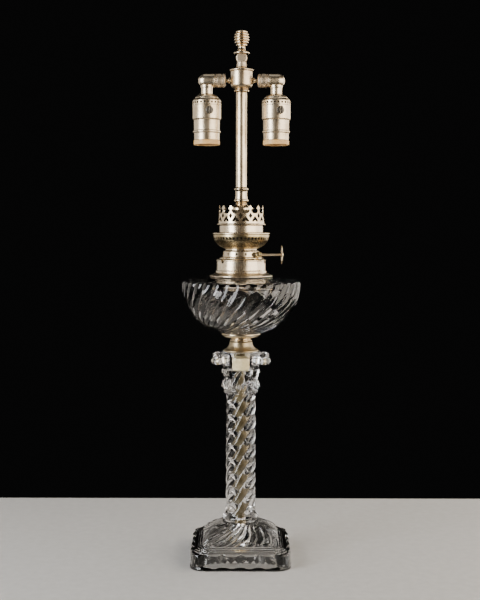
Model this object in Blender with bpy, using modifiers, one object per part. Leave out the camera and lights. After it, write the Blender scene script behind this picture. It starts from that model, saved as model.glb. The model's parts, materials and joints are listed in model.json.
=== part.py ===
"""Glass column oil lamp with a pierced burner, converted to a two-light socket cluster.

Every length below is in millimetres and is scaled to metres once, by MM, where a mesh is made.
+Z is up, the origin is the middle of the foot's underside, and -Y is the front.
"""

import math

import bmesh
import bpy
from mathutils import Matrix, Vector

MM = 0.001
GAP = 0.3  # free space between neighbouring solids

# Driving dimensions: heights of the main joints, bottom to top
FOOT_TOP = 48.6  # top ring of the glass foot
COLUMN_TOP = 219.0
CAPITAL_TOP = 273.3
CUP_BOTTOM = 291.5
FONT_BOTTOM = 294.0
FONT_RIM = 365.0
NECK_TOP = 385.5  # glass neck of the oil font
COLLAR_TOP = 395.0
SPINDLE_Z = 399.8
BASKET_BOTTOM = 407.2
DRUM_BOTTOM = 428.7
CROWN_BOTTOM = 437.5
CROWN_TOP = 464.5
STEM_BOTTOM = 486.7
STEM_TOP = 608.0
ARM_Z = 623.1  # axis of the two swivel arms
PIVOT_Z = 651.9  # axis of the shade knuckle
LAMP_TOP = 687.0

# Driving widths
FOOT_HALF = 65.0
FOOT_CORNER = 19.5
FOOT_LOBES = 4  # convex lobes along each side of the foot
COLUMN_R = 19.6
COLUMN_RIBS = 8
COLUMN_RISE = 19.0  # height from one rope of the twist to the next
FONT_R = 77.0
FONT_FLUTES = 24
ROD_R = 4.8
SOCKET_X = 44.7  # distance of each socket's axis from the lamp's axis
SPINDLE_Y = -16.5
CROWN_POINTS = 14
BAYONET_TWIST = 20.0
KEY_Z = 583.8  # height of the two switch keys
KEY_AZIMUTH = {"left": 11.0, "right": 13.0}  # how far each switch key is turned from the front


# --------------------------------------------------------------------------- helpers


def clear_scene():
    for obj in list(bpy.data.objects):
        bpy.data.objects.remove(obj)


def collection(name):
    made = bpy.data.collections.new(name)
    bpy.context.scene.collection.children.link(made)
    return made


def material(name, colour, roughness, metallic=0.0, transmission=0.0):
    made = bpy.data.materials.new(name)
    made.use_nodes = True
    shader = made.node_tree.nodes["Principled BSDF"]
    shader.inputs["Base Color"].default_value = (*colour, 1.0)
    shader.inputs["Roughness"].default_value = roughness
    shader.inputs["Metallic"].default_value = metallic
    shader.inputs["Transmission Weight"].default_value = transmission
    return made


def object_from(name, bm, look=None):
    """A named object from a bmesh in millimetres. Without a look it is a cutter."""
    mesh = bpy.data.meshes.new(name)
    bmesh.ops.scale(bm, vec=(MM, MM, MM), verts=bm.verts)
    bm.to_mesh(mesh)
    bm.free()
    obj = bpy.data.objects.new(name, mesh)
    if look is None:
        CUTTERS.objects.link(obj)
        obj.hide_render = True
        obj.display_type = "WIRE"
    else:
        LAMP.objects.link(obj)
        mesh.materials.append(look)
    return obj


def boolean(obj, other, operation="DIFFERENCE"):
    step = obj.modifiers.new(other.name, "BOOLEAN")
    step.operation = operation
    step.object = other
    return obj


def turned(name, profile, look, steps=16, turn=None, place=(0, 0, 0)):
    """Revolves a profile of (radius, height) points. It closes through the axis, or round a bore.

    turn is an optional rotation matrix that lays the turned part's own +Z along another axis.
    """
    ends = list(zip(profile, profile[1:] + profile[:1]))
    area = sum(a[0] * b[1] - b[0] * a[1] for a, b in ends)
    if area > 0:  # the outer side has to run downwards
        profile = profile[::-1]
    mesh = bpy.data.meshes.new(name)
    points = [(r * MM, 0, z * MM) for r, z in profile]
    edges = [(i, i + 1) for i in range(len(points) - 1)]
    if profile[0][0] > 0 or profile[-1][0] > 0:
        edges.append((len(points) - 1, 0))
    mesh.from_pydata(points, edges, [])
    mesh.materials.append(look)
    obj = bpy.data.objects.new(name, mesh)
    LAMP.objects.link(obj)
    screw = obj.modifiers.new("Turn", "SCREW")
    screw.axis = "Z"
    screw.steps = screw.render_steps = steps
    screw.use_merge_vertices = True
    screw.merge_threshold = 0.00001
    screw.use_smooth_shade = True
    obj.matrix_world = Matrix.Translation(Vector(place) * MM) @ (turn or Matrix()).to_4x4()
    return obj


def tube(name, outer, inner, low, high, look, steps=20, **where):
    profile = [(outer, low), (outer, high), (inner, high), (inner, low)]
    return turned(name, profile, look, steps, **where)


def rod(name, radius, low, high, look, steps=12, **where):
    profile = [(0, low), (radius, low), (radius, high), (0, high)]
    return turned(name, profile, look, steps, **where)


def loft(name, rings, look, closed=False):
    """Skins rings of equal point counts. A closed loft joins the last ring to the first."""
    bm = bmesh.new()
    loops = [[bm.verts.new(p) for p in ring] for ring in rings]
    pairs = list(zip(loops, loops[1:]))
    if closed:
        pairs.append((loops[-1], loops[0]))
    else:
        bm.faces.new(loops[0])
        bm.faces.new(loops[-1])
    for low, high in pairs:
        for i in range(len(low)):
            j = (i + 1) % len(low)
            bm.faces.new((low[i], low[j], high[j], high[i]))
    bmesh.ops.recalc_face_normals(bm, faces=bm.faces)
    obj = object_from(name, bm, look)
    obj.data.shade_smooth()
    obj.data.set_sharp_from_angle(angle=math.radians(35))
    return obj


def circle(radius, z, count, start=0.0):
    turn = [start + 2 * math.pi * i / count for i in range(count)]
    return [(radius * math.cos(a), radius * math.sin(a), z) for a in turn]


def cylinder_into(bm, radius, low, high, matrix, segments=12):
    """A capped cylinder from low to high along the matrix's own Z."""
    middle = Matrix.Translation((0, 0, (low + high) / 2))
    bmesh.ops.create_cone(
        bm,
        cap_ends=True,
        segments=segments,
        radius1=radius,
        radius2=radius,
        depth=high - low,
        matrix=matrix @ middle,
    )


def box_into(bm, low, high, matrix):
    size = Vector(high) - Vector(low)
    middle = (Vector(high) + Vector(low)) / 2
    scale = Matrix.Diagonal((*size, 1))
    bmesh.ops.create_cube(bm, size=1, matrix=matrix @ Matrix.Translation(middle) @ scale)


def about_z(degrees):
    return Matrix.Rotation(math.radians(degrees), 4, "Z")


ALONG_X = Matrix.Rotation(math.radians(90), 4, "Y")  # turns a part's +Z to +X
ALONG_MINUS_X = Matrix.Rotation(math.radians(-90), 4, "Y")
ALONG_MINUS_Y = Matrix.Rotation(math.radians(90), 4, "X")


# --------------------------------------------------------------------------- glass foot


def foot_section(half, corner, bulge, z, steps=2, corner_steps=3):
    """A square with rounded corners whose sides and corners swell into lobes."""
    points = []
    side = half - corner
    for quarter in range(4):
        turn = Matrix.Rotation(math.pi / 2 * quarter, 2)
        for i in range(FOOT_LOBES * steps):
            t = i / (FOOT_LOBES * steps)
            swell = bulge * abs(math.sin(math.pi * t * FOOT_LOBES))
            points.append(turn @ Vector((half - bulge + swell, -side + 2 * side * t)))
        for i in range(corner_steps):
            t = i / corner_steps
            radius = corner - bulge + bulge * math.sin(math.pi * t)
            a = math.pi / 2 * t
            reach = Vector((math.cos(a), math.sin(a))) * radius
            points.append(turn @ (Vector((side, side)) + reach))
    return [(p.x, p.y, z) for p in points]


def foot_blend(half, corner, radius, share, z):
    """A ring between the foot's square section (share 0) and a circle (share 1)."""
    square = foot_section(half, corner, 0, z)
    # The first point is the lower end of the +X side, just under an eighth of a turn from its middle
    lead = -math.pi * FOOT_LOBES * 2 / len(square)
    ring = circle(radius, z, len(square), lead)
    return [tuple(Vector(a).lerp(Vector(b), share)) for a, b in zip(square, ring)]


def make_foot():
    wall, lobe = FOOT_HALF, 2.6
    rings = [
        foot_section(wall, FOOT_CORNER, 0, 0),
        foot_section(wall, FOOT_CORNER, 0, 2.4),
        foot_section(wall - 0.8, FOOT_CORNER - 0.8, lobe, 3.0),
        foot_section(wall - 0.8, FOOT_CORNER - 0.8, lobe, 15.5),
        foot_section(wall - 2.6, FOOT_CORNER - 2.6, lobe * 0.7, 18.2),
        foot_blend(50.0, 16.0, 50.0, 0.0, 24.6),
        foot_blend(46.5, 18.0, 48.0, 0.1, 32.5),
        foot_blend(37.0, 20.0, 38.5, 0.45, 42.8),
        foot_blend(24.0, 12.0, 24.0, 1.0, 47.2),
        foot_blend(21.0, 12.0, 21.0, 1.0, FOOT_TOP),
        foot_blend(5.4, 3.0, 5.4, 1.0, FOOT_TOP),
        foot_blend(5.4, 3.0, 5.4, 1.0, 28.0),
        foot_blend(16.0, 9.0, 16.0, 1.0, 28.0),
        foot_blend(38.0, 16.0, 38.0, 0.3, 23.0),
        foot_blend(52.5, 13.0, 52.5, 0.0, 0.0),
    ]
    loft("base_foot", rings, GLASS, closed=True)
    tube("base_washer", 13.0, 5.3, 26.0, 27.7, BRASS, 20)
    nut = bmesh.new()
    cylinder_into(nut, 8.6, 20.0, 25.7, Matrix(), 6)
    bore = bmesh.new()
    cylinder_into(bore, 5.1, 15, 30, Matrix(), 16)
    boolean(object_from("base_nut", nut, BRASS), object_from("nut_bore", bore))
    rod("tie_rod", ROD_R, 16.0, CUP_BOTTOM + 0.8, BRASS)


# --------------------------------------------------------------------------- glass column


def rope_radius(angle, z, radius, depth):
    """Convex ropes with narrow valleys, rising to the right as seen from outside."""
    lead = 2 * math.pi * z / (COLUMN_RISE * COLUMN_RIBS)
    phase = (angle - lead) * COLUMN_RIBS / 2
    return radius - depth + depth * abs(math.cos(phase))


def rope_ring(z, radius, depth, count):
    ring = []
    lead = 2 * math.pi * z / (COLUMN_RISE * COLUMN_RIBS)
    for i in range(count):
        # Points turn with the ropes, so that each crest and valley keeps its own line of points
        a = 2 * math.pi * i / count + lead
        r = rope_radius(a, z, radius, depth)
        ring.append((r * math.cos(a), r * math.sin(a), z))
    return ring


def make_column():
    count = COLUMN_RIBS * 3
    low = FOOT_TOP + GAP
    rings = [rope_ring(z, r, 0, count) for z, r in ((low, 21.0), (53.5, 23.8), (59.5, 20.0))]
    steps = 11
    bottom, top = 64.5, 214.0
    for i in range(steps + 1):
        z = bottom + (top - bottom) * i / steps
        rings.append(rope_ring(z, COLUMN_R, 2.2, count))
    rings.append(rope_ring(COLUMN_TOP, 19.2, 0, count))
    bore = bmesh.new()
    cylinder_into(bore, ROD_R + 3.2, low - 5, COLUMN_TOP + 5, Matrix(), 16)
    boolean(loft("column_shaft", rings, GLASS), object_from("column_bore", bore))


def capital_ring(z, radius, corner, count=32):
    """A round section that grows four corner volutes, reaching corner millimetres further out."""
    ring = []
    for i in range(count):
        a = 2 * math.pi * i / count
        peak = max(0.0, -math.cos(4 * a)) ** 3
        r = radius + corner * peak
        ring.append((r * math.cos(a), r * math.sin(a), z))
    return ring


def make_capital():
    low = COLUMN_TOP + GAP
    bore, hollow = ROD_R + 0.5, 16.2
    outside = (
        (low, 21.8, 0),
        (223.0, 21.6, 0),
        (229.7, 25.2, 0),
        (237.5, 23.4, 0),
        (251.0, 24.6, 4),
        (257.5, 27.0, 20),
        (264.5, 28.0, 24),
        (271.0, 27.0, 18),
        (CAPITAL_TOP, 26.2, 8),
    )
    rings = [capital_ring(z, r, c) for z, r, c in outside]
    rings += [capital_ring(CAPITAL_TOP, hollow, 0), capital_ring(249.0, hollow - 2, 0)]
    rings += [capital_ring(249.0, bore, 0), capital_ring(low, bore, 0)]
    loft("capital", rings, GLASS, closed=True)
    cement = [(15.9, CAPITAL_TOP - 0.2), (13.9, 249.3), (ROD_R + GAP, 249.3)]
    cement.append((ROD_R + GAP, CAPITAL_TOP - 0.2))
    turned("capital_cement", cement, CEMENT, 20)


def make_connector():
    bore = ROD_R + GAP
    low = CAPITAL_TOP + GAP
    bell = [
        (22.4, low),
        (22.4, low + 1.2),
        (18.0, 278.4),
        (15.2, 281.6),
        (14.5, 286.2),
        (bore, 286.2),
        (bore, 284.6),
        (12.0, 283.8),
        (14.0, 279.4),
        (19.0, low),
    ]
    turned("connector_bell", bell, BRASS, 20)
    neck = [(13.9, 286.5), (14.1, 288.0), (13.2, 289.6), (13.6, 291.2), (bore, 291.2), (bore, 286.5)]
    turned("connector_neck", neck, BRASS, 20)
    cup = [
        (14.5, CUP_BOTTOM),
        (22.6, CUP_BOTTOM + 0.4),
        (25.0, 294.6),
        (25.2, 296.8),
        (23.9, 296.8),
        (23.2, 294.4),
        (21.8, 293.2),
        (bore, 293.2),
        (bore, CUP_BOTTOM),
    ]
    turned("font_cup", cup, BRASS, 20)


# --------------------------------------------------------------------------- oil font

BOWL_OUTSIDE = (  # (radius, height), bottom to rim
    (21.0, FONT_BOTTOM),
    (22.4, 296.6),
    (36.6, 300.9),
    (52.5, 309.5),
    (65.5, 322.5),
    (73.4, 337.0),
    (76.7, 351.0),
    (FONT_R - 0.1, FONT_RIM - 2.4),
)


def font_ring(radius, z, depth, swirl):
    """A ring of the font: convex flutes of the given depth, turned by swirl."""
    ring = []
    for i in range(FONT_FLUTES * 2):
        a = math.pi * i / FONT_FLUTES + swirl
        valley = i % 2
        r = radius - depth * valley
        ring.append((r * math.cos(a), r * math.sin(a), z))
    return ring


def make_font():
    rings = []
    swirl, previous = 0.0, BOWL_OUTSIDE[0]
    for radius, z in BOWL_OUTSIDE:
        run = math.hypot(radius - previous[0], z - previous[1])
        # The flutes lean most near the bottom of the bowl and stand up towards its rim
        swirl += 1.55 * (1 - 0.62 * (z - FONT_BOTTOM) / (FONT_RIM - FONT_BOTTOM)) * run / radius
        previous = (radius, z)
        depth = 0 if z < 297 else min(1.5, 0.032 * radius)
        rings.append(font_ring(radius, z, depth, swirl))
    top = ((FONT_R - 1.6, FONT_RIM), (53.0, 368.8), (41.0, 370.2), (35.6, 374.0), (29.8, 374.0))
    top += ((29.8, NECK_TOP), (25.0, NECK_TOP), (25.0, 371.0))
    inside = ((68.0, 360.0), (71.0, 352.0), (60.0, 324.0), (30.0, 305.5), (6.0, 303.0))
    rings += [font_ring(radius, z, 0, swirl) for radius, z in top + inside]
    loft("font_bowl", rings, GLASS)


def make_collar():
    low, wall = 374.3, 31.7
    profile = [
        (33.0, low),
        (33.2, low + 1.6),
        (wall, low + 3.4),
        (wall, 392.4),
        (29.0, COLLAR_TOP),
        (28.2, COLLAR_TOP),
        (28.2, 393.6),
        (30.4, 392.0),
        (30.4, low),
    ]
    collar = turned("font_collar", profile, BRASS, 30)
    notches = bmesh.new()
    for i in range(3):
        box_into(notches, (26, -2.2, 388.6), (34, 2.2, 397), about_z(-19 + 120 * i))
    boolean(collar, object_from("bayonet_notches", notches))


# --------------------------------------------------------------------------- burner


def make_burner():
    ring = [
        (24.2, NECK_TOP + GAP),
        (27.7, NECK_TOP + GAP),
        (27.7, 395.6),
        (22.0, 396.3),
        (22.0, 393.0),
        (24.2, 392.0),
    ]
    base = turned("burner_base_ring", ring, BRASS, 28)
    pins = bmesh.new()
    for i in range(3):
        matrix = about_z(-19 - BAYONET_TWIST + 120 * i) @ ALONG_X
        matrix = Matrix.Translation((0, 0, 390.6)) @ matrix
        cylinder_into(pins, 1.0, 26.5, 29.9, matrix, 8)
    boolean(base, object_from("bayonet_pins", pins), "UNION")

    neck = [
        (23.8, 396.6),
        (23.8, 403.8),
        (20.4, 404.8),
        (20.4, BASKET_BOTTOM - 0.4),
        (19.4, BASKET_BOTTOM - 0.4),
        (19.4, 404.0),
        (22.8, 403.0),
        (22.8, 396.6),
    ]
    neck = turned("burner_neck", neck, BRASS, 28)
    slots = bmesh.new()
    for i in range(12):
        angle = 360 / 12 * i - 105
        if abs((angle + 44 + 180) % 360 - 180) > 22:  # keeps clear of the spindle's gland
            box_into(slots, (21, -1.0, 398.4), (25, 1.0, 402.2), about_z(angle))
    gland_hole = bmesh.new()
    seat = Matrix.Translation((0, SPINDLE_Y, SPINDLE_Z)) @ ALONG_X
    cylinder_into(gland_hole, 3.3, 8, 30, seat)
    boolean(neck, object_from("neck_slots", slots))
    boolean(neck, object_from("gland_hole", gland_hole))
    at_spindle = {"turn": ALONG_X, "place": (0, SPINDLE_Y, SPINDLE_Z)}
    gland = [(1.8, 13.5), (2.9, 13.5), (2.9, 22.0), (3.6, 22.4), (3.6, 25.0), (1.8, 26.2)]
    turned("spindle_gland", gland, DARK_BRASS, 12, **at_spindle)

    tube("burner_tube", 11.5, 10.6, 397.5, 456.2, BRASS)

    basket = [
        (20.8, BASKET_BOTTOM),
        (23.0, 408.0),
        (30.8, 413.1),
        (35.2, 418.3),
        (36.4, 425.6),
        (35.5, 425.6),
        (34.4, 418.7),
        (30.2, 413.9),
        (20.8, 408.4),
    ]
    basket = turned("air_basket", basket, DARK_BRASS, 36)
    holes = bmesh.new()
    for i in range(18):
        matrix = Matrix.Translation((0, 0, 421.0)) @ about_z(20 * i) @ ALONG_X
        cylinder_into(holes, 1.4, 33, 38, matrix, 4)
    boolean(basket, object_from("basket_holes", holes))

    plate = [(28.0, 425.9), (37.1, 425.9), (37.1, 427.6), (36.4, 428.4), (28.0, 428.4)]
    turned("gallery_plate", plate, BRASS, 30)
    tube("burner_drum", 28.3, 27.4, DRUM_BOTTOM, CROWN_BOTTOM - GAP, BRASS, 28)


def prism_into(bm, outline, low, high, matrix):
    """A prism standing on an outline of (y, z) points, from low to high along the matrix's X."""
    near = [bm.verts.new(matrix @ Vector((low, y, z))) for y, z in outline]
    far = [bm.verts.new(matrix @ Vector((high, y, z))) for y, z in outline]
    bm.faces.new(near[::-1])
    bm.faces.new(far)
    for i in range(len(outline)):
        j = (i + 1) % len(outline)
        bm.faces.new((near[i], near[j], far[j], far[i]))


def crown_cutter():
    """Radial prisms that open the gaps between the crown's points and the holes below them."""
    cut = bmesh.new()
    step = 360 / CROWN_POINTS
    gap = ((-3.2, 466), (-3.2, 463.2), (-4.9, 460.6), (-4.3, 457.4), (0, 455.2))
    gap += tuple((-y, z) for y, z in reversed(gap[:-1]))
    triangle = ((-2.9, 448.6), (0, 443.4), (2.9, 448.6))
    for i in range(CROWN_POINTS):
        between = about_z(-90 + step * (i + 0.5))
        prism_into(cut, gap, 24, 34, between)
        prism_into(cut, triangle, 24, 34, between)
    bmesh.ops.recalc_face_normals(cut, faces=cut.faces)
    return object_from("crown_openings", cut)


def make_crown():
    wall = [
        (28.8, CROWN_BOTTOM),
        (31.6, CROWN_BOTTOM),
        (32.0, 438.6),
        (30.0, 440.2),
        (28.9, CROWN_TOP),
        (27.9, CROWN_TOP),
    ]
    boolean(turned("crown_gallery", wall, BRASS, CROWN_POINTS * 2), crown_cutter())
    floor = [(12.0, 438.8), (26.9, 438.8), (26.9, 440.2), (22.0, 441.4), (12.0, 441.4)]
    turned("crown_floor", floor, DARK_BRASS, 24)
    cap = [
        (5.3, 456.6),
        (12.6, 456.6),
        (12.6, 459.6),
        (11.2, 462.4),
        (6.9, 465.8),
        (5.3, 465.8),
    ]
    turned("reducer_cap", cap, BRASS, 20)


# --------------------------------------------------------------------------- stem and cluster


def make_stem():
    rod("stem_nipple", 5.0, 442.0, 500.0, DARK_BRASS)
    low = 466.1
    coupler = [
        (5.3, low),
        (7.2, low),
        (9.1, low + 2.0),
        (9.1, low + 4.2),
        (7.8, low + 6.4),
        (7.6, low + 16.0),
        (9.1, 484.0),
        (7.8, STEM_BOTTOM - GAP),
        (5.3, STEM_BOTTOM - GAP),
    ]
    turned("stem_coupler", coupler, BRASS)
    tube("stem_tube", 7.3, 6.2, STEM_BOTTOM, STEM_TOP, BRASS)
    low = STEM_TOP + GAP
    ring = [(5.2, low), (8.0, low), (9.7, low + 2.0), (7.8, 612.4), (5.2, 612.4)]
    turned("cluster_neck_ring", ring, BRASS)


def make_cluster():
    body = [
        (5.2, 612.7),
        (8.6, 612.7),
        (12.2, 614.6),
        (13.9, 617.6),
        (13.9, 635.0),
        (12.6, 635.0),
        (12.6, 618.2),
        (5.2, 615.6),
    ]
    body = turned("cluster_body", body, BRASS, 24)
    ports = bmesh.new()
    cylinder_into(ports, 2.7, -20, 20, Matrix.Translation((0, 0, ARM_Z)) @ ALONG_X)
    boolean(body, object_from("arm_ports", ports))
    cap = [(4.3, 635.3), (14.9, 635.3), (15.4, 636.3), (14.6, 637.8), (7.0, 640.2), (4.3, 640.2)]
    turned("cluster_cap", cap, BRASS, 24)


def make_arm(side):
    """The fixed half of one swivel arm, laid along +X or -X."""
    where = {
        "turn": ALONG_X if side == "right" else ALONG_MINUS_X,
        "place": (0, 0, ARM_Z),
    }
    nipple = [(0, 10.0), (2.4, 10.0), (2.4, 14.4), (3.6, 14.8), (3.6, 16.6), (2.3, 17.4), (2.1, 20.2)]
    nipple += [(2.1, 24.0), (0, 24.0)]
    turned(f"arm_nipple_{side}", nipple, BRASS, 12, **where)
    coupling = [
        (2.4, 20.4),
        (5.2, 20.4),
        (8.8, 22.8),
        (8.2, 24.6),
        (8.8, 26.0),
        (8.8, 33.5),
        (3.9, 33.5),
        (3.9, 39.0),
        (2.4, 39.0),
    ]
    turned(f"arm_coupling_{side}", coupling, DARK_BRASS, 16, **where)


# --------------------------------------------------------------------------- lamp sockets


def make_elbow(side):
    """The moving half of a swivel arm: a domed barrel with a spout that carries the socket."""
    sign = 1 if side == "right" else -1
    barrel = [(4.3, 34.3), (8.8, 34.3), (8.7, 49.5), (7.4, 52.8), (4.8, 55.0), (0, 55.7)]
    barrel += [(0, 47.5), (4.3, 47.5)]
    where = {"turn": ALONG_X if sign > 0 else ALONG_MINUS_X, "place": (0, 0, ARM_Z)}
    elbow = turned(f"elbow_{side}", barrel, BRASS, 16, **where)
    spout = bmesh.new()
    down = Matrix.Translation((sign * SOCKET_X, 0, 0))
    cylinder_into(spout, 7.4, 605.7, ARM_Z - 5.6, down, 16)
    bore = bmesh.new()
    cylinder_into(bore, 3.6, 600, ARM_Z, down)
    boolean(elbow, object_from(f"spout_{side}", spout), "UNION")
    boolean(elbow, object_from(f"wireway_{side}", bore))


def make_socket(side):
    sign = 1 if side == "right" else -1
    where = {"place": (sign * SOCKET_X, 0, 0)}
    cap = [
        (3.6, 605.4),
        (7.8, 605.4),
        (13.6, 602.2),
        (18.6, 597.6),
        (19.0, 591.9),
        (18.1, 591.9),
        (17.8, 596.8),
        (12.6, 601.4),
        (3.6, 603.6),
    ]
    turned(f"socket_cap_{side}", cap, BRASS, 20, **where)
    shell = [
        (18.7, 591.6),
        (18.7, 573.8),
        (16.9, 572.6),
        (16.9, 558.8),
        (18.2, 557.0),
        (16.4, 555.2),
        (16.4, 547.2),
        (15.7, 547.2),
        (15.7, 573.6),
        (17.9, 574.6),
        (17.9, 591.6),
    ]
    shell = turned(f"socket_shell_{side}", shell, BRASS, 20, **where)
    liner = [
        (15.4, 578.0),
        (15.4, 546.8),
        (17.0, 546.8),
        (17.0, 541.6),
        (14.4, 541.6),
        (14.4, 578.0),
    ]
    turned(f"socket_liner_{side}", liner, LINER, 20, **where)
    tube(f"screw_shell_{side}", 14.1, 13.3, 550.0, 578.6, BRASS, **where)
    core = [(0, 579.0), (17.2, 579.0), (17.2, 592.6), (12.0, 596.2), (0, 596.2)]
    core = turned(f"socket_core_{side}", core, PORCELAIN, 20, **where)
    rod(f"center_contact_{side}", 3.6, 576.2, 578.7, BRASS, 12, **where)

    key_line = Matrix.Translation((sign * SOCKET_X, 0, KEY_Z))
    key_line = key_line @ about_z(KEY_AZIMUTH[side]) @ ALONG_MINUS_Y
    hole = bmesh.new()
    cylinder_into(hole, 3.2, 5.0, 24, key_line)
    cutter = object_from(f"key_hole_{side}", hole)
    # The cutter stands in world space, and so do the shell and core through their own places
    boolean(shell, cutter)
    boolean(core, cutter)
    key = bmesh.new()
    cylinder_into(key, 2.7, 6.0, 19.6, key_line, 12)
    head = bmesh.new()
    cylinder_into(head, 4.3, 19.3, 21.6, key_line)
    paddle = bmesh.new()
    box_into(paddle, (-1.7, -4.6, 21.0), (1.7, 4.6, 29.0), key_line)
    key = object_from(f"switch_key_{side}", key, BAKELITE)
    boolean(key, object_from(f"key_head_{side}", head), "UNION")
    boolean(key, object_from(f"key_paddle_{side}", paddle), "UNION")


# --------------------------------------------------------------------------- shade knuckle


def make_knuckle():
    stem = [(0, 636.0), (3.9, 636.0), (3.9, 640.5), (6.3, 640.5), (6.2, 646.5), (0, 646.5)]
    base = turned("knuckle_base", stem, BRASS)
    across = Matrix.Translation((0, 0, PIVOT_Z)) @ ALONG_MINUS_Y
    disc = bmesh.new()
    cylinder_into(disc, 7.1, -5.4, 5.4, across, 20)
    slot = bmesh.new()
    box_into(slot, (-12, -1.8, 643.8), (12, 1.8, 665), Matrix())
    hole = bmesh.new()
    cylinder_into(hole, 1.9, -9, 4.4, across, 12)
    boolean(base, object_from("knuckle_disc", disc), "UNION")
    boolean(base, object_from("knuckle_slot", slot))
    boolean(base, object_from("knuckle_hole", hole))
    pin = [(0, -4.2), (1.55, -4.2), (1.55, 5.7), (3.4, 5.7), (3.4, 6.6), (2.4, 7.4), (0, 7.4)]
    place = (0, 0, PIVOT_Z)
    turned("knuckle_pin", pin, DARK_BRASS, 12, turn=ALONG_MINUS_Y.inverted(), place=place)

    flange = [
        (0, 659.6),
        (7.2, 659.4),
        (9.6, 657.4),
        (10.1, 658.4),
        (5.4, 662.0),
        (0, 662.0),
    ]
    tongue = turned("shade_rest", flange, BRASS, 20)
    lug = bmesh.new()
    cylinder_into(lug, 6.2, -1.45, 1.45, across, 16)
    web = bmesh.new()
    box_into(web, (-4.2, -1.45, PIVOT_Z + 2), (4.2, 1.45, 660.4), Matrix())
    eye = bmesh.new()
    cylinder_into(eye, 1.95, -4, 4, across, 12)
    boolean(tongue, object_from("tongue_web", web), "UNION")
    boolean(tongue, object_from("tongue_lug", lug), "UNION")
    boolean(tongue, object_from("tongue_eye", eye))
    rod("finial_stud", 2.2, 662.3, 677.0, DARK_BRASS, 12)


def make_finial():
    """A beehive knob: six rounded rings that swell and shrink, over a waisted neck."""
    low = 662.4
    outline = [(5.4, low), (4.9, low + 1.2), (4.8, 665.6)]
    rings = ((7.0, 668.0), (8.9, 671.2), (9.9, 674.6), (9.9, 678.0), (8.8, 681.3), (6.3, 684.3))
    for radius, z in rings:
        outline += [(radius, z - 0.2), (radius * 0.9, z + 1.5)]
    outline += [(3.0, 686.6), (0, LAMP_TOP), (0, 677.4), (2.55, 677.4), (2.55, low)]
    turned("finial", outline, BRASS, 18)


# --------------------------------------------------------------------------- wick raiser


def make_wick_raiser():
    at_spindle = {"turn": ALONG_X, "place": (0, SPINDLE_Y, SPINDLE_Z)}
    rod("wick_spindle", 1.35, -8.0, 50.6, DARK_BRASS, 12, **at_spindle)
    wheel = [
        (0, 50.9),
        (10.2, 51.2),
        (10.8, 50.8),
        (11.3, 51.0),
        (11.3, 53.5),
        (10.3, 53.3),
        (3.0, 53.5),
        (0, 54.8),
    ]
    turned("wick_thumbwheel", wheel, BRASS, 24, **at_spindle)
    for number, x in enumerate((-5.0, 5.0), 1):
        teeth = 10
        bm = bmesh.new()
        points = []
        for i in range(teeth * 2):
            r = 4.2 if i % 2 else 2.9
            a = math.pi * i / teeth
            points.append((x - 0.5, SPINDLE_Y + r * math.cos(a), SPINDLE_Z + r * math.sin(a)))
        face = bm.faces.new([bm.verts.new(p) for p in points])
        side = bmesh.ops.extrude_face_region(bm, geom=[face])
        moved = [v for v in side["geom"] if isinstance(v, bmesh.types.BMVert)]
        bmesh.ops.translate(bm, vec=(1.0, 0, 0), verts=moved)
        bmesh.ops.recalc_face_normals(bm, faces=bm.faces)
        sprocket = object_from(f"wick_sprocket_{number}", bm, DARK_BRASS)
        bore = bmesh.new()
        seat = Matrix.Translation((0, SPINDLE_Y, SPINDLE_Z)) @ ALONG_X
        cylinder_into(bore, 1.65, x - 3, x + 3, seat, 12)
        boolean(sprocket, object_from(f"sprocket_bore_{number}", bore))


clear_scene()
LAMP = collection("oil_lamp")
CUTTERS = collection("cutters")
GLASS = material("clear_glass", (0.95, 0.95, 0.94), 0.02, transmission=1.0)
BRASS = material("plated_brass", (0.80, 0.74, 0.64), 0.18, metallic=1.0)
DARK_BRASS = material("aged_brass", (0.52, 0.46, 0.34), 0.28, metallic=1.0)
CEMENT = material("cement", (0.74, 0.68, 0.52), 0.85)
LINER = material("liner_board", (0.72, 0.50, 0.22), 0.6)
PORCELAIN = material("porcelain", (0.90, 0.88, 0.83), 0.25)
BAKELITE = material("bakelite", (0.03, 0.025, 0.02), 0.3)

make_foot()
make_column()
make_capital()
make_connector()
make_font()
make_collar()
make_burner()
make_crown()
make_stem()
make_cluster()
for hand in ("left", "right"):
    make_arm(hand)
    make_elbow(hand)
    make_socket(hand)
make_knuckle()
make_finial()
make_wick_raiser()
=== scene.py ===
"""The looks of a glass column oil lamp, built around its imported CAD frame.

Lengths are in millimetres and become metres in mesh_piece. +Z is up and -Y is the front.
"""

import json
from math import atan2, copysign, cos, exp, floor, hypot, pi, radians, sin, sqrt, tan, tau

import bmesh
import bpy
from mathutils import Matrix, Vector


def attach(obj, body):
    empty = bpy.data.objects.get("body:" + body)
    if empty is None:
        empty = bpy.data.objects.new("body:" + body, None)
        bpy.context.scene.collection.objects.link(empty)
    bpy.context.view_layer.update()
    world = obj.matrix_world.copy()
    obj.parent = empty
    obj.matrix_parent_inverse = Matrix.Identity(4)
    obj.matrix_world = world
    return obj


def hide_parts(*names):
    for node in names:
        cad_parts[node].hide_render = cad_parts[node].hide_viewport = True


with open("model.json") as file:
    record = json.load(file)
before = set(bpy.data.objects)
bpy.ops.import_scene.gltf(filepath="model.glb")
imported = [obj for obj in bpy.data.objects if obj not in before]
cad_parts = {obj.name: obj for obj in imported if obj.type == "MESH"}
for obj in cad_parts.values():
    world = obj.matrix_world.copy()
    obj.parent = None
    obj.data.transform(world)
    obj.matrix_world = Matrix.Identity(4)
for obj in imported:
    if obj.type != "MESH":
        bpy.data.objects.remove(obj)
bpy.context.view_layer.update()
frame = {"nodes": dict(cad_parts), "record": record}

MM = 0.001
ALONG_X = Matrix.Rotation(radians(90), 3, "Y")
ALONG_MINUS_X = Matrix.Rotation(radians(-90), 3, "Y")
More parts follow.
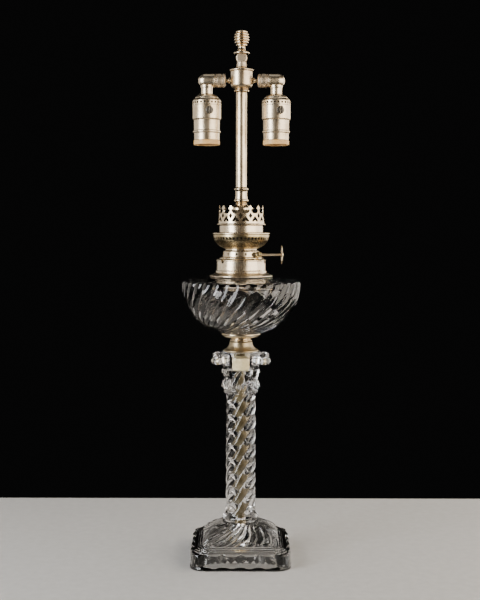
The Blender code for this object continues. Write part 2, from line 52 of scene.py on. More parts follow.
ALONG_Y = Matrix.Rotation(radians(-90), 3, "X")
ALONG_MINUS_Y = Matrix.Rotation(radians(90), 3, "X")

FOOT_HALF = 65  # half the width of the square foot
SPINDLE_AT = (0, -16.5, 399.8)  # a point on the wick spindle's line
GLAND_AZIMUTH = -44  # where the spindle leaves the burner's neck, in degrees
ARM_Z = 623.1  # height of the two arms
SOCKET_X = 44.7  # distance of each socket's axis from the stem's
KEY_Z = 583.8  # height of the two switch keys
KEY_AZIMUTH = {"left": 11, "right": 13}  # degrees from the front to the right
SIDES = {"left": -1, "right": 1}
PIVOT = (0, 0, 651.9)  # middle of the knuckle under the finial


def about_z(degrees):
    return Matrix.Rotation(radians(degrees), 3, "Z")


# ---- materials


def new_material(name):
    made = bpy.data.materials.new(name)
    made.use_nodes = True
    return made, made.node_tree.nodes, made.node_tree.links


def noise_node(nodes, links, scale, detail=4, stretch=(1, 1, 1), rough=0.55):
    place = nodes.new("ShaderNodeTexCoord")
    mapping = nodes.new("ShaderNodeMapping")
    mapping.inputs["Scale"].default_value = stretch
    made = nodes.new("ShaderNodeTexNoise")
    made.inputs["Scale"].default_value = scale
    made.inputs["Detail"].default_value = detail
    made.inputs["Roughness"].default_value = rough
    links.new(place.outputs["Object"], mapping.inputs["Vector"])
    links.new(mapping.outputs["Vector"], made.inputs["Vector"])
    return made.outputs["Fac"]


def ramp(nodes, links, source, stops):
    made = nodes.new("ShaderNodeValToRGB")
    points = made.color_ramp.elements
    while len(points) < len(stops):
        points.new(0.5)
    for point, (at, colour) in zip(points, stops):
        point.position = at
        point.color = (*colour, 1)
    links.new(source, made.inputs["Fac"])
    return made.outputs["Color"]


def spread(nodes, links, source, low, high):
    """Maps the usual swing of a noise to the values from low to high."""
    made = nodes.new("ShaderNodeMapRange")
    made.inputs["From Min"].default_value = 0.3
    made.inputs["From Max"].default_value = 0.7
    made.inputs["To Min"].default_value = low
    made.inputs["To Max"].default_value = high
    links.new(source, made.inputs["Value"])
    return made.outputs["Result"]


def bump(nodes, links, source, strength, distance, below=None):
    made = nodes.new("ShaderNodeBump")
    made.inputs["Strength"].default_value = strength
    made.inputs["Distance"].default_value = distance
    links.new(source, made.inputs["Height"])
    if below is not None:
        links.new(below, made.inputs["Normal"])
    return made.outputs["Normal"]


TURNED, DRAWN = (1, 1, 14), (8, 8, 0.5)  # lines around a turned part, and along a drawn one


def metal(name, bright, dull, tarnish, rough, grain=TURNED):
    """Old plated brass: cloudy plating, small tarnish spots and fine lines along its grain."""
    made, nodes, links = new_material(name)
    shader = nodes["Principled BSDF"]
    shader.inputs["Metallic"].default_value = 1
    cloud = noise_node(nodes, links, 55, 5)
    colour = ramp(nodes, links, cloud, ((0.34, dull), (0.56, bright), (0.75, bright)))
    spots = noise_node(nodes, links, 420, 6, rough=0.7)
    mask = ramp(nodes, links, spots, ((0.3, (1, 1, 1)), (0.4, (0, 0, 0))))
    mix = nodes.new("ShaderNodeMix")
    mix.data_type = "RGBA"
    links.new(mask, mix.inputs["Factor"])
    links.new(colour, mix.inputs["A"])
    mix.inputs["B"].default_value = (*tarnish, 1)
    links.new(mix.outputs["Result"], shader.inputs["Base Color"])
    lines = noise_node(nodes, links, 160, 4, stretch=grain)
    links.new(spread(nodes, links, lines, *rough), shader.inputs["Roughness"])
    fine = noise_node(nodes, links, 900, 3)
    normal = bump(nodes, links, lines, 0.12, 0.0002)
    links.new(bump(nodes, links, fine, 0.05, 0.0001, normal), shader.inputs["Normal"])
    return made


def glass(name, tint, ripple):
    """Pressed crystal: clear, with the faint ripple and cloudy film of an old mould."""
    made, nodes, links = new_material(name)
    shader = nodes["Principled BSDF"]
    shader.inputs["Transmission Weight"].default_value = 1
    shader.inputs["IOR"].default_value = 1.52
    cloud = noise_node(nodes, links, 45, 3)
    pale = tuple(min(1, c + 0.02) for c in tint)
    links.new(ramp(nodes, links, cloud, ((0.3, tint), (0.7, pale))), shader.inputs["Base Color"])
    links.new(spread(nodes, links, cloud, 0, 0.03), shader.inputs["Roughness"])
    wave = noise_node(nodes, links, 110, 2)
    links.new(bump(nodes, links, wave, ripple, 0.0006), shader.inputs["Normal"])
    return made


def solid(name, low, high, rough, scale=300, strength=0.2, distance=0.0002, coat=0):
    """An uncoated mineral, board or plastic with a grain in its colour and surface."""
    made, nodes, links = new_material(name)
    shader = nodes["Principled BSDF"]
    shader.inputs["Coat Weight"].default_value = coat
    grain = noise_node(nodes, links, scale, 6)
    links.new(ramp(nodes, links, grain, ((0.3, low), (0.7, high))), shader.inputs["Base Color"])
    links.new(spread(nodes, links, grain, rough - 0.08, rough + 0.08), shader.inputs["Roughness"])
    links.new(bump(nodes, links, grain, strength, distance), shader.inputs["Normal"])
    return made


PLATED = metal("plated_brass_look", (0.86, 0.71, 0.5), (0.66, 0.51, 0.32), (0.26, 0.17, 0.09), (0.18, 0.3))
SHEET = metal(
    "drawn_brass_look", (0.86, 0.73, 0.54), (0.7, 0.56, 0.38), (0.28, 0.19, 0.1), (0.2, 0.32), DRAWN
)
SATIN = metal(
    "satin_brass_look", (0.86, 0.72, 0.52), (0.66, 0.52, 0.34), (0.24, 0.16, 0.09), (0.26, 0.38), DRAWN
)
CAST = metal("cast_brass_look", (0.66, 0.54, 0.39), (0.48, 0.38, 0.26), (0.22, 0.15, 0.09), (0.4, 0.52))
AGED = metal("aged_brass_look", (0.54, 0.43, 0.25), (0.36, 0.27, 0.14), (0.16, 0.11, 0.06), (0.22, 0.36))
# A darker copy of the plated brass: painted shade for the bell, which reflects dark surroundings
SHADED_PLATED = metal("shaded_plated_brass_look", (0.36, 0.29, 0.18), (0.22, 0.17, 0.1), (0.1, 0.07, 0.04), (0.3, 0.42))
# Near black brass: soot on the burner, and painted shade on faces inside hollows and behind holes
SOOT_AND_SHADE = metal(
    "soot_and_shade_brass_look", (0.06, 0.046, 0.028), (0.03, 0.023, 0.014), (0.02, 0.015, 0.01), (0.45, 0.6)
)
RAW = metal("raw_brass_look", (0.58, 0.41, 0.19), (0.4, 0.27, 0.11), (0.2, 0.12, 0.05), (0.24, 0.4))
ROD = metal("tie_rod_look", (0.12, 0.096, 0.052), (0.07, 0.056, 0.03), (0.04, 0.03, 0.018), (0.42, 0.58))
CRYSTAL = glass("crystal_look", (0.925, 0.912, 0.905), 0.03)
FOOT_CRYSTAL = glass("foot_crystal_look", (0.93, 0.92, 0.91), 0.03)
CEMENT = solid("cement_look", (0.52, 0.44, 0.24), (0.7, 0.61, 0.38), 0.85, 500, 0.5)
BOARD = solid("liner_board_look", (0.72, 0.4, 0.13), (0.88, 0.57, 0.24), 0.4, 700, 0.4)
FIBRE = solid("liner_fibre_look", (0.26, 0.12, 0.035), (0.42, 0.22, 0.07), 0.6, 500, 0.4)
PORCELAIN = solid("porcelain_look", (0.62, 0.6, 0.54), (0.74, 0.71, 0.65), 0.22, 200, 0.05, coat=0.4)
BAKELITE = solid("bakelite_look", (0.045, 0.035, 0.024), (0.1, 0.08, 0.056), 0.36, 260, 0.1, coat=0.2)


# ---- mesh helpers


def mesh_piece(name, verts, faces, look, sharp=38):
    """An object from vertices in millimetres, closed and facing out, smooth except at creases."""
    bm = bmesh.new()
    points = [bm.verts.new(Vector(v) * MM) for v in verts]
    for face in faces:
        bm.faces.new([points[i] for i in face])
    bmesh.ops.delete(bm, geom=[v for v in bm.verts if not v.link_faces], context="VERTS")
    bmesh.ops.recalc_face_normals(bm, faces=bm.faces)
    mesh = bpy.data.meshes.new(name)
    bm.to_mesh(mesh)
    bm.free()
    mesh.materials.append(look)
    mesh.shade_smooth()
    if sharp:
        mesh.set_sharp_from_angle(angle=radians(sharp))
    obj = bpy.data.objects.new(name, mesh)
    bpy.context.scene.collection.objects.link(obj)
    return obj


def settle(piece, body, slot, nodes=()):
    """Rides a piece on its body, keeps clear glass from casting a shadow and hides the CAD nodes it stands
    for.
    """
    piece.visible_shadow = slot != "clear_glass"  # glass lets the light through
    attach(piece, body)
    if nodes:
        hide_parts(*nodes)
    return piece


def bake_modifiers(obj):
    """Replaces an object's mesh by the result of its modifiers."""
    graph = bpy.context.evaluated_depsgraph_get()
    mesh = bpy.data.meshes.new_from_object(obj.evaluated_get(graph))
    obj.modifiers.clear()
    obj.data = mesh
    return obj


def combine(obj, others, operation):
    """Joins or cuts closed meshes exactly, then removes the tools."""
    for other in others:
        step = obj.modifiers.new(other.name, "BOOLEAN")
        step.operation = operation
        step.solver = "EXACT"
        step.object = other
        bake_modifiers(obj)
        bpy.data.objects.remove(other)
    obj.data.shade_smooth()
    obj.data.set_sharp_from_angle(angle=radians(34))
    return obj


def bar(radius, low, high, bore=0):
    """The outline of a plain bar or tube: a rectangle from bore to radius and from low to high."""
    return [(bore, low), (radius, low), (radius, high), (bore, high)]


def softened(profile, radius):
    """Rounds the corners of a closed (radius, height) outline, so its edges catch light."""
    out = []
    count = len(profile)
    for i, (r, z) in enumerate(profile):
        here = Vector((r, z))
        before = Vector(profile[i - 1]) - here
        after = Vector(profile[(i + 1) % count]) - here
        if r < 1e-6 or before.length < 1e-6 or after.length < 1e-6:
            out.append((r, z))
            continue
        bend = pi - before.angle(after, 0)
        cut = min(radius, before.length * 0.45, after.length * 0.45)
        if bend < radians(12) or cut < 0.04:
            out.append((r, z))
            continue
        start, end = here + before.normalized() * cut, here + after.normalized() * cut
        steps = 1 if bend < radians(35) else 3
        for k in range(steps + 1):
            t = k / steps
            point = start * (1 - t) ** 2 + here * 2 * t * (1 - t) + end * t**2
            out.append((point.x, point.y))
    return out


def smooth_path(points, per):
    """A Catmull-Rom curve through points of any dimension."""
    pts = [Vector(p) for p in points]
    out = []
    for i in range(len(pts) - 1):
        a = pts[max(i - 1, 0)]
        b, c = pts[i], pts[i + 1]
        d = pts[min(i + 2, len(pts) - 1)]
        for k in range(per):
            t = k / per
            out.append(
                0.5 * (2 * b + (c - a) * t + (2 * a - 5 * b + 4 * c - d) * t**2
                       + (3 * b - a - 3 * c + d) * t**3)
            )
    out.append(pts[-1])
    return [tuple(p) for p in out]


def lathe(name, profile, look, steps=64, soft=0.35, turn=None, place=(0, 0, 0), shape=None):
    """Revolves a closed outline of (radius, height) points about its own Z.

    shape, when given, changes each point's radius from (radius, height, angle).
    """
    if soft:
        profile = softened(profile, soft)
    turn = turn or Matrix.Identity(3)
    place = Vector(place)
    verts, rows, faces = [], [], []
    for r, z in profile:
        if r < 1e-6:
            rows.append([len(verts)])
            verts.append(turn @ Vector((0, 0, z)) + place)
            continue
        row = []
        for k in range(steps):
            a = tau * k / steps
            rr = shape(r, z, a) if shape else r
            row.append(len(verts))
            verts.append(turn @ Vector((rr * cos(a), rr * sin(a), z)) + place)
        rows.append(row)
    pairs = list(zip(rows, rows[1:] + rows[:1]))
    if len(rows[0]) == 1 and len(rows[-1]) == 1:
        pairs.pop()
    for low, high in pairs:
        if len(low) == 1 and len(high) == 1:
            continue
        for k in range(steps):
            n = (k + 1) % steps
            if len(low) == 1:
                faces.append((low[0], high[k], high[n]))
            elif len(high) == 1:
                faces.append((low[k], low[n], high[0]))
            else:
                faces.append((low[k], low[n], high[n], high[k]))
    return mesh_piece(name, verts, faces, look)


def skin(name, rings, look, capped=False):
    """Joins rings of equal counts into one body: capped at both ends, or closed back on itself."""
    verts = [p for ring in rings for p in ring]
    count = len(rings[0])
    faces = []
    for j in range(len(rings) - 1 if capped else len(rings)):
        k = (j + 1) % len(rings)
        for i in range(count):
            n = (i + 1) % count
            faces.append((j * count + i, j * count + n, k * count + n, k * count + i))
    if capped:
        faces.append(tuple(range(count)))
        faces.append(tuple(range(len(verts) - count, len(verts))))
    return mesh_piece(name, verts, faces, look)


def prisms(name, shapes, low, high, look):
    """Prisms on outlines of (y, z) points, each from low to high along the X of its matrix."""
    verts, faces = [], []
    for outline, matrix in shapes:
        first, size = len(verts), len(outline)
        verts += [matrix @ Vector((x, y, z)) for x in (low, high) for y, z in outline]
        faces.append(tuple(range(first, first + size)))
        faces.append(tuple(range(first + 2 * size - 1, first + size - 1, -1)))
        for k in range(size):
            n = (k + 1) % size
            faces.append((first + k, first + n, first + n + size, first + k + size))
    return mesh_piece(name, verts, faces, look, sharp=0)


def prism(name, outline, low, high, matrix, look):
    return prisms(name, [(outline, matrix)], low, high, look)


def wavy_ring(radius_at, z, count, lead=0):
    """The points of a level ring with its radius given by angle, the first point at the angle lead."""
    polar = [(radius_at(a), a) for a in (tau * i / count + lead for i in range(count))]
    return [(r * cos(a), r * sin(a), z) for r, a in polar]


def circle(radius, z, count, lead=0):
    return wavy_ring(lambda a: radius, z, count, lead)


def wall_grid(path, steps):
    """Points around a turned wall, level by level, from its (radius, height) path."""
    return [Vector(p) for r, z in path for p in circle(r, z, steps)]


def thicken(piece, thickness, axis_x, inside_look):
    """Gives a turned sheet its thickness inwards, and gives the faces that look at its axis a darker
    inside look of painted shade.
    """
    def outward(poly):
        return poly.normal.dot(Vector((poly.center.x - axis_x * MM, poly.center.y, 0)).normalized())

    shell = piece.modifiers.new("Thickness", "SOLIDIFY")
    shell.thickness = thickness * MM
    shell.offset = -1 if sum(outward(p) for p in piece.data.polygons) > 0 else 1
    bake_modifiers(piece)
    piece.data.shade_smooth()
    piece.data.set_sharp_from_angle(angle=radians(40))
    # The faces towards the axis get the darker inside look, painted shade for the hollow behind the holes
    piece.data.materials.append(inside_look)
    for poly in piece.data.polygons:
        poly.material_index = 1 if outward(poly) < -0.15 else 0
    return piece


def pierced(name, path, holes, count, look, inside_look, thickness=0.6, axis_x=0):
    """A turned wall with a row of six-sided holes in each band that holes names.

    holes maps a band's number to the (width, height) shares of the cell that its holes take.
    """
    steps = 2 * count
    verts = wall_grid(path, steps)
    faces = []

    def at(r, z, k):
        a = tau * k / steps
        verts.append(Vector((r * cos(a), r * sin(a), z)))
        return len(verts) - 1

    for j, ((r0, z0), (r1, z1)) in enumerate(zip(path, path[1:])):
        low, high = j * steps, (j + 1) * steps
        if j not in holes:
            faces += [(low + k, low + (k + 1) % steps, high + (k + 1) % steps, high + k)
                      for k in range(steps)]
            continue
        wide, tall = holes[j]
        for k in range(0, steps, 2):
            edge = [low + k, low + k + 1, low + (k + 2) % steps]
            edge += [high + (k + 2) % steps, high + k + 1, high + k]
            inner = []
            for x, y in ((-1, -1), (0, -1), (1, -1), (1, 1), (0, 1), (-1, 1)):
                lift = 0.5 + 0.5 * y * tall * (1 if x == 0 else 0.55)
                inner.append(at(r0 + (r1 - r0) * lift, z0 + (z1 - z0) * lift, k + 1 + x * wide))
            faces += [(edge[e], edge[(e + 1) % 6], inner[(e + 1) % 6], inner[e]) for e in range(6)]
    verts = [v + Vector((axis_x, 0, 0)) for v in verts]
    return thicken(mesh_piece(name, verts, faces, look, sharp=0), thickness, axis_x, inside_look)


def lattice(name, path, first, last, count, share, look, inside_look, thickness=0.6):
    """A turned wall that is a net of diamond holes from level first to level last."""
    steps = 2 * count
    verts = wall_grid(path, steps)
    faces = []

    def point(level, k):
        return level * steps + k % steps

    for j in range(len(path) - 1):
        if j < first or j >= last:
            faces += [(point(j, k), point(j, k + 1), point(j + 1, k + 1), point(j + 1, k))
                      for k in range(steps)]
    for i in range(first, last + 1):
        for k in range(i % 2, steps, 2):
            left, right = point(i, k - 1), point(i, k + 1)
            if i == first:
                faces.append((left, point(i, k), right, point(i + 1, k)))
            elif i == last:
                faces.append((right, point(i, k), left, point(i - 1, k)))
            else:
                corners = (left, point(i - 1, k), right, point(i + 1, k))
                start = len(verts)
                verts += [verts[point(i, k)].lerp(verts[c], share) for c in corners]
                faces += [(corners[c], corners[(c + 1) % 4], start + (c + 1) % 4, start + c)
                          for c in range(4)]
    return thicken(mesh_piece(name, verts, faces, look, sharp=0), thickness, 0, inside_look)


# ---- pieces in place of CAD nodes

BODY_OF = {n: body for body, names in frame["record"]["behaviour"]["bodies"].items() for n in names}
SLOT_OF = {s["node"]: s["material_slot"] for s in frame["record"]["subparts"]}


def stand_in(piece, node):
    """Puts a piece in the place of one CAD node, on that node's body."""
    return settle(piece, BODY_OF[node], SLOT_OF[node], [node])


def lathe_part(name, node, profile, look, steps=64, soft=0.35, **where):
    """A turned piece that stands for one CAD node."""
    return stand_in(lathe(name, profile, look, steps, soft, **where), node)


def keep_node(node, look):
    """Keeps a CAD node that no piece stands for and gives it a look."""
    frame["nodes"][node].data.materials[0] = look


# ---- glass foot

FOOT_LOBES = 4
LOBE_STEPS = 14
CORNER_STEPS = 16
GADROONS = 32
CORNER_R = 19.5


def foot_outline(half, corner, bulge, least):
    """A rounded square with swelling lobes on its sides, never less than its least half width."""
    points = []
    side = half - corner
    for quarter in range(4):
        turn = Matrix.Rotation(pi / 2 * quarter, 2)
        for i in range(FOOT_LOBES * LOBE_STEPS):
            t = i / (FOOT_LOBES * LOBE_STEPS)
            reach = max(half - bulge * (2 * (t * FOOT_LOBES % 1) - 1) ** 2, least)
            points.append(turn @ Vector((reach, -side + 2 * side * t)))
        for i in range(CORNER_STEPS):
            t = i / CORNER_STEPS
            a = pi / 2 * t
            reach = max(corner - bulge * (2 * t - 1) ** 2 if bulge else corner, corner + least - half)
            points.append(turn @ (Vector((side, side)) + Vector((cos(a), sin(a))) * reach))
    return points


def foot_ring(half, z, bulge=0, least=0, share=0, corner=CORNER_R):
    """One level of the foot, from a lobed square (share 0) to a circle (share 1)."""
    count = 4 * (FOOT_LOBES * LOBE_STEPS + CORNER_STEPS)
    lead = -pi * FOOT_LOBES * LOBE_STEPS / count
    ring = []
    for i, p in enumerate(foot_outline(half, corner, bulge, least)):
        a = lead + tau * i / count
        p = p.lerp(Vector((cos(a), sin(a))) * half, share)
        ring.append((p.x, p.y, z))
    return ring


def gadroon(ring, t):
    """Sinks swirling valleys into a level of the dome, at t from its border to its top."""
    depth = (3 - 1.9 * t) * min(1, t / 0.09) ** 0.5 * min(1, (1 - t) / 0.05) ** 0.5
    swirl = 0.62 * t**0.9 / tau
    out = []
    for i, (x, y, z) in enumerate(ring):
        sink = depth * (2 * (GADROONS * (i / len(ring) - swirl) % 1) - 1) ** 2
        pull = 1 - 0.75 * sink / hypot(x, y)
        out.append((x * pull, y * pull, z - 0.66 * sink))
    return out


def foot_border():
    """The rings of the lobed border and of the four steps inside it."""
    rings = [foot_ring(64.4, 0), foot_ring(FOOT_HALF, 0.5), foot_ring(FOOT_HALF, 2.2)]
    for k in range(14):
        z = 2.8 + 0.4 * k
        rings.append(foot_ring(64.7, z, 3.6, FOOT_HALF - 0.72 * (z - 2.8)))
    for half, z, bulge in ((64.9, 10, 3.6), (64.9, 15, 3.6), (64.8, 18, 3.5), (64.6, 19.4, 3.2),
                           (64.1, 20.3, 2.6), (63.3, 20.9, 1.8), (62.2, 21.2, 0.9), (60.8, 21.2, 0.2)):
        rings.append(foot_ring(half, z, bulge, corner=CORNER_R - 0.5 * (FOOT_HALF - half)))
    for k in range(4):
        half, z = 60 - 2.4 * k, 21 + 1.5 * k
        for inset, rise in ((0, 0), (0.3, 1.1), (0.8, 1.45), (2, 1.5)):
            corner = CORNER_R - 0.5 * (FOOT_HALF - half + inset)
            rings.append(foot_ring(half - inset, z + rise, corner=corner))
    return rings


def foot_dome():
    """The rings of the gadrooned dome, from (half width, height, roundness, corner) points."""
    dome = smooth_path((
        (50, 27.2, 0, 11.5), (49.2, 29.4, 0.03, 11.5), (47.6, 32.2, 0.07, 12),
        (45.2, 35.2, 0.14, 13), (42, 38.6, 0.26, 14), (37.8, 42, 0.42, 16),
        (32.6, 45, 0.62, 18), (27.6, 46.9, 0.82, 18), (23.8, 47.8, 1, 18),
    ), 5)
    rings = []
    for j, (half, z, share, corner) in enumerate(dome):
        rings.append(gadroon(foot_ring(half, z, share=share, corner=corner), j / (len(dome) - 1)))
    return rings


def foot_inside():
    """The rings of the bore for the rod and of the hollow below."""
    rings = []
    inside = (
        (23, 48.1, 1), (21.2, 48.6, 1), (5.4, 48.6, 1), (5.4, 28, 1), (15, 28, 1),
        (25, 27, 0.8), (34, 24.6, 0.5), (42, 20, 0.2), (47, 14, 0), (50.5, 6, 0),
        (52.5, 0.6, 0), (53, 0, 0),
    )
    for half, z, share in inside:
        rings.append(foot_ring(half, z, share=share, corner=min(13, half * 0.8)))
    return rings


def make_foot():
    rings = foot_border() + foot_dome() + foot_inside()
    foot = stand_in(skin("crystal_foot", rings, FOOT_CRYSTAL), "base_foot")
    foot.visible_shadow = True  # the thick foot looks washed out without its own shadow
    lathe_part("foot_washer", "base_washer", bar(13, 26, 27.7, 5.3), AGED)
    keep_node("base_nut", AGED)


# ---- glass column

ROPES = 8
ROPE_RISE = 19  # height between neighbouring ropes
COLUMN_BORE = 8  # radius
TWIST_LOW, TWIST_HIGH = 64.6, 214.4  # heights between which the ropes have their full depth


def rope(radius, depth, angle, z):
    """The radius of a column of convex ropes that climb to the right."""
    f = ROPES * (angle / tau) - z / ROPE_RISE
    f -= floor(f)
    return radius - depth * (2 * f - 1) ** 2


def make_column():
    count = 160
    lead_per_mm = tau / (ROPE_RISE * ROPES)
    levels = [(48.95, 20.2, 0), (49.4, 20.7, 0), (50.4, 21.2, 0), (51.6, 22.6, 0), (52.8, 23.6, 0)]
    levels += [(54.2, 23.9, 0), (55.6, 23.3, 0), (57, 21.9, 0), (58.2, 20.8, 0), (59.6, 20.2, 0)]
    levels += [(60.8, 20, 0.2), (62, 19.9, 0.8), (63.2, 19.8, 1.4), (TWIST_LOW, 19.7, 1.9)]
    steps = 76
    for k in range(1, steps + 1):
        z = TWIST_LOW + (TWIST_HIGH - TWIST_LOW) * k / steps
        levels.append((z, 19.7 - 0.2 * k / steps, 2.1))
    levels += [(215.2, 19.5, 1.5), (216, 19.5, 0.8), (216.8, 19.4, 0.1), (218.6, 19.3, 0)]
    levels += [(218.95, 19, 0)]
    rings = []
    for z, radius, depth in levels:
        rings.append(wavy_ring(lambda a: rope(radius, depth, a, z), z, count, z * lead_per_mm))
    # The bore is untwisted in small steps, so that it stays round
    top = levels[-1][0]
    for k in range(41):
        z = top + (levels[0][0] - top) * k / 40
        rings.append(circle(COLUMN_BORE, z, count, z * lead_per_mm))
    stand_in(skin("crystal_column", rings, CRYSTAL), "column_shaft")


def make_rod():
    """The tie rod, thickened by a spacer sleeve where it runs through the column."""
    lathe_part("inner_rod", "tie_rod", [
        (0, 16), (4.8, 16), (4.8, 49.2), (7.4, 49.6), (7.4, 218.4), (4.8, 218.8), (4.8, 292.3),
        (0, 292.3)], ROD, 48)


# ---- glass capital

LEAF_SLANT = tan(radians(29))
RELIEF_R = 22.5  # radius at which the relief is drawn
CURL_Z = 229.6
LEAF_LOW, LEAF_TALL = 223.6, 26


def leaf_relief(z, a):
    """How far the curls, and the slanting leaves between them, stand out of the capital's bell."""
    eighth = pi / 4
    around = (a + pi / 2 + eighth / 2) % eighth - eighth / 2
    x, y = RELIEF_R * around, z - CURL_Z
    out = hypot(x, y)
    spiral = 0.6 + 0.4 * cos(tau * out / 3.6 - atan2(y, x))
    relief = 3.3 * exp(-((out / 5.9) ** 4)) * spiral

    t = (z - LEAF_LOW) / LEAF_TALL
    if 0 < t < 1:
        centre = (z - 236) * LEAF_SLANT / RELIEF_R
        x = RELIEF_R * ((a + pi / 2 - centre) % eighth - eighth / 2)
        edge = abs(x) / (5.2 * sqrt(1 - t**4))
        if edge < 1:
            leaf = (1 - edge**2) * (0.6 + 1 * t) + 0.8 * exp(-((edge / 0.2) ** 2)) * (1 - t)
            leaf += 1.5 * exp(-(((t - 0.86) / 0.1) ** 2)) * (1 - edge**2)
            relief = max(relief, leaf * min(1, 5 * t))
    return relief


def capital_rings():
    """The bell with its relief, the plate with its four horns, and the socket inside."""
    count = 192
    bell = smooth_path((
        (219.35, 21.2), (219.9, 22.4), (220.7, 22.6), (221.3, 21.5), (221.9, 22.2),
        (222.6, 22.3), (223.2, 21.4), (226, 21.8), (232, 22), (240, 21.9),
        (247, 22.4), (252.5, 23.4), (257, 24.6), (262, 25.4), (266.4, 25.8),
    ), 5)
    plate = ((266.8, 26.2), (267.3, 26.5), (269, 26.5), (270.8, 26.5), (272.6, 26.5), (273.1, 26.2),
             (273.3, 25.7))
    rings = []
    for z, radius in list(bell) + list(plate):
        horn = 17.5 * min(1, max(0, (z - 255) / 5)) ** 2 * min(1, max(0, (270.6 - z) / 2))

        def radius_at(a):
            relief = leaf_relief(z, a) if 223.3 < z < 252 else 0
            return radius + horn * max(0, -cos(4 * a)) ** 6 + relief

        rings.append(wavy_ring(radius_at, z, count))
    for r, z in ((16.2, 273.3), (15.6, 268), (14.4, 250), (13.8, 249), (5.3, 249),
                 (5.3, 235), (5.3, 219.35)):
        rings.append(circle(r, z, count))
    return rings


def capital_scrolls():
    """A scroll on each corner and a pair of curls on each face."""
    half = [(4.7, 0), (4.4, 4), (3.7, 6), (2.6, 6.4), (2.1, 5.8), (1.5, 5.8), (1, 6.8), (0, 6.8)]
    scroll = [(r, -z) for r, z in half[:0:-1]] + half
    curl = [(0, 19), (3.9, 19), (3.9, 25.2), (3.3, 26.2), (2.5, 26.3), (2.1, 25.4), (1.6, 25.4),
            (1.2, 26.6), (0, 26.9)]
    scrolls = []
    for k in range(4):
        turn = about_z(45 + 90 * k)
        scrolls.append(lathe(f"volute_{k}", scroll, CRYSTAL, 40, 0.6,
                             turn=turn @ ALONG_Y, place=turn @ Vector((44.2, 0, 264))))
        for lean in (-40, 40):
            scrolls.append(lathe(f"curl_{k}_{lean}", curl, CRYSTAL, 28, 0.4,
                                 turn=about_z(90 * k + lean) @ ALONG_X, place=(0, 0, 261.6)))
    return scrolls


def make_capital():
    capital = skin("crystal_capital", capital_rings(), CRYSTAL)
    combine(capital, capital_scrolls(), "UNION")
    stand_in(capital, "capital")


def make_plug():
    plug = [(5.1, 249.3), (10.4, 249.3), (11.2, 251), (11.4, 262), (11.8, 267.2), (5.1, 267.2)]
    lathe_part("capital_plug", "capital_cement", plug, CEMENT, 48, 0.5,
               shape=lambda r, z, a: r + 0.15 * sin(5 * a + z) if r > 6 else r)


def make_connector():
    # The bell gets a darker copy of the plated brass, a painted shade for the dark surroundings that it
    # reflects
    lathe_part("bell", "connector_bell", [
        (5.1, 286.2), (14, 286.2), (14.9, 285.8), (15.1, 283.4), (15.6, 281.4), (16.8, 279.4),
        (18.8, 277.4), (21.2, 275.8), (22.6, 275.2), (22.9, 274.6), (22.9, 273.7), (19, 273.7),
        (15, 279.4), (12, 283.6), (5.1, 284.6)], SHADED_PLATED, 96, 0.5)
    lathe_part("bell_neck", "connector_neck", [
        (5.1, 286.5), (13.4, 286.5), (14.4, 287), (14.6, 287.8), (14, 288.6), (12.9, 289.2),
        (13, 290.2), (13.8, 290.8), (13.9, 291.2), (5.1, 291.2)], PLATED, 96, 0.3)
    lathe_part("saucer", "font_cup", [
        (5.1, 291.5), (16, 291.5), (20.6, 291.8), (23.4, 292.8), (24.9, 294.4), (25.4, 295.8),
        (25.3, 296.9), (24.2, 296.9), (23.4, 294.8), (21.8, 293.3), (5.1, 293.3)], PLATED, 96, 0.4)


# ---- oil font

FONT_FLUTES, PER_FLUTE = 30, 10


def font_outside(count):
    """The rings of the fluted bowl and its swirled shoulder, and the swirl that they end with."""
    bowl = smooth_path((
        (21.4, 294), (22.4, 295.6), (24, 296.9), (28.6, 298.2), (36.6, 300.9), (43.4, 304),
        (49.4, 307.4), (55.6, 312.4), (61, 318.2), (65.4, 324), (69.2, 329.8), (72.4, 336),
        (74.7, 342.2), (76.1, 348.6), (76.9, 354.8), (77.2, 360), (77, 362.6), (76, 364.4),
        (73.4, 365.6), (66, 366.9), (58, 368.1), (50, 369.1), (42.6, 369.8),
    ), 3)
    rings, swirl, before = [], -0.4, bowl[0]
    for radius, z in bowl:
        run = hypot(radius - before[0], z - before[1])
        before = (radius, z)
        rise = (z - 294) / 71
        swirl += (1.5 - 1.2 * rise) * run / radius
        fade = min(1, max(0, (z - 295.2) / 3.5))
        if rise > 0.94:
            fade *= max(0, min(1, (radius - 66) / 10))
        depth = min(2.1, 0.05 * radius) * fade
        shoulder = max(0, min(1, (radius - 43) / 8)) * (1 - fade) if rise > 0.94 else 0
        ring = []
        for i in range(count):
            f = i % PER_FLUTE / PER_FLUTE
            a = tau * i / count + swirl
            r = radius - depth * (2 * f - 1) ** 2
            ring.append((r * cos(a), r * sin(a), z - shoulder * (2 * f - 1) ** 2))
        rings.append(ring)
    return rings, swirl


def make_font():
    count = FONT_FLUTES * PER_FLUTE
    rings, swirl = font_outside(count)
    plain = ((41.4, 370.2), (35, 370.3), (30.2, 371.4), (29.8, 373), (29.8, 385.2), (29.4, 385.5),
             (25.4, 385.5), (25, 385.2), (25, 372), (26.6, 368.4), (31, 365.6))
    inside = smooth_path((
        (40, 363.6), (52, 362.6), (64, 361.4), (68.6, 359.6), (70.6, 355.8), (70.6, 350),
        (68.6, 341), (64.8, 332), (59.4, 324), (52.4, 317), (44, 311.6), (34, 307.6),
        (22, 304.8), (10, 303.4), (0.8, 303.1),
    ), 3)
    for radius, z in list(plain) + list(inside):
        rings.append(circle(radius, z, count, swirl))
    stand_in(skin("crystal_font", rings, CRYSTAL, capped=True), "font_bowl")


